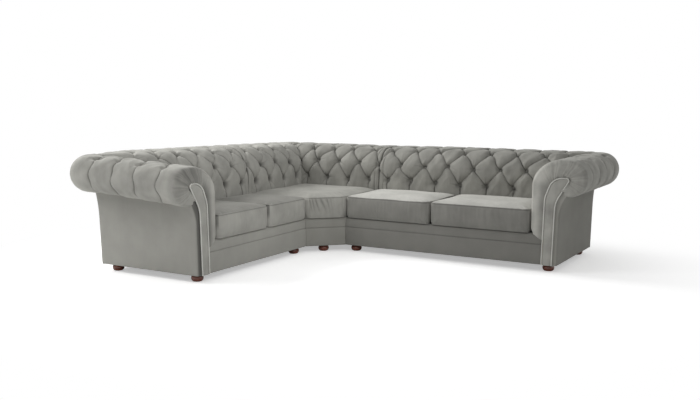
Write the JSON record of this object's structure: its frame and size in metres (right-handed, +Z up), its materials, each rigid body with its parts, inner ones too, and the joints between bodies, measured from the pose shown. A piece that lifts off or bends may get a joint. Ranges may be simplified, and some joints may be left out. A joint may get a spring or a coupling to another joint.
{
  "type": "corner chesterfield sofa",
  "caption": "L-shaped corner sofa with deep-buttoned rolled backs and arms, loose boxed seat cushions, piped scroll arm fronts and turned bun feet.",
  "frame": {"origin": "on the floor, below the centre of the bounding box", "axes": "+X along the right wing towards its arm, +Y towards the right wing's back, +Z up"},
  "size_m": [2.91, 2.535, 0.7261],
  "materials": {
    "velvet": "grey velvet with a soft nap",
    "piping": "pale velvet piping",
    "frame_wood": "raw frame timber",
    "mahogany": "polished reddish brown",
    "webbing": "woven seat webbing",
    "deck_cloth": "plain grey platform cloth",
    "dust_cloth": "black bonded cloth",
    "steel": "zinc plated"
  },
  "bodies": {
    "corner_unit": {"corner_front_rail": "frame_wood", "corner_base_rails": "frame_wood", "corner_stiles": "frame_wood", "corner_slats": "frame_wood", "corner_webbing": "webbing", "corner_seat_deck": "deck_cloth", "corner_front_border": "velvet", "corner_inside_back_left": "velvet", "corner_inside_back_right": "velvet", "corner_outside_back_left": "velvet", "corner_outside_back_right": "velvet", "corner_buttons": "velvet", "corner_feet": "mahogany", "corner_foot_bolts": "steel", "corner_dust_cover": "dust_cloth", "corner_connectors": "steel"},
    "left_unit": {"left_front_rail": "frame_wood", "left_base_rails": "frame_wood", "left_back_stiles": "frame_wood", "left_arm_stiles": "frame_wood", "left_slats": "frame_wood", "left_webbing": "webbing", "left_seat_deck": "deck_cloth", "left_front_border": "velvet", "left_inside_back": "velvet", "left_outside_back": "velvet", "left_inside_arm": "velvet", "left_outside_arm": "velvet", "left_arm_facing": "velvet", "left_facing_piping": "piping", "left_buttons": "velvet", "left_feet": "mahogany", "left_foot_bolts": "steel", "left_dust_cover": "dust_cloth", "left_connectors": "steel"},
    "right_unit": {"right_front_rail": "frame_wood", "right_base_rails": "frame_wood", "right_back_stiles": "frame_wood", "right_arm_stiles": "frame_wood", "right_slats": "frame_wood", "right_webbing": "webbing", "right_seat_deck": "deck_cloth", "right_front_border": "velvet", "right_inside_back": "velvet", "right_outside_back": "velvet", "right_inside_arm": "velvet", "right_outside_arm": "velvet", "right_arm_facing": "velvet", "right_facing_piping": "piping", "right_buttons": "velvet", "right_feet": "mahogany", "right_foot_bolts": "steel", "right_dust_cover": "dust_cloth", "right_connectors": "steel"},
    "left_cushion_seam_body": {"left_cushion_seam": "velvet"},
    "left_cushion_arm_body": {"left_cushion_arm": "velvet"},
    "right_cushion_seam_body": {"right_cushion_seam": "velvet"},
    "right_cushion_arm_body": {"right_cushion_arm": "velvet"},
    "corner_cushion_body": {"corner_cushion": "velvet"}
  },
  "joints": [
    {"name": "left_unit_lift", "type": "slide", "parent": "corner_unit", "child": "left_unit", "axis": [0, 0, 1], "range_m": [0, 0.06]},
    {"name": "right_unit_lift", "type": "slide", "parent": "corner_unit", "child": "right_unit", "axis": [0, 0, 1], "range_m": [0, 0.06]},
    {"name": "left_cushion_seam_lift", "type": "slide", "parent": "left_unit", "child": "left_cushion_seam_body", "axis": [0, 0, 1], "range_m": [0, 0.45]},
    {"name": "left_cushion_arm_lift", "type": "slide", "parent": "left_unit", "child": "left_cushion_arm_body", "axis": [0, 0, 1], "range_m": [0, 0.45]},
    {"name": "right_cushion_seam_lift", "type": "slide", "parent": "right_unit", "child": "right_cushion_seam_body", "axis": [0, 0, 1], "range_m": [0, 0.45]},
    {"name": "right_cushion_arm_lift", "type": "slide", "parent": "right_unit", "child": "right_cushion_arm_body", "axis": [0, 0, 1], "range_m": [0, 0.45]},
    {"name": "corner_cushion_lift", "type": "slide", "parent": "corner_unit", "child": "corner_cushion_body", "axis": [0, 0, 1], "range_m": [0, 0.45]}
  ]
}
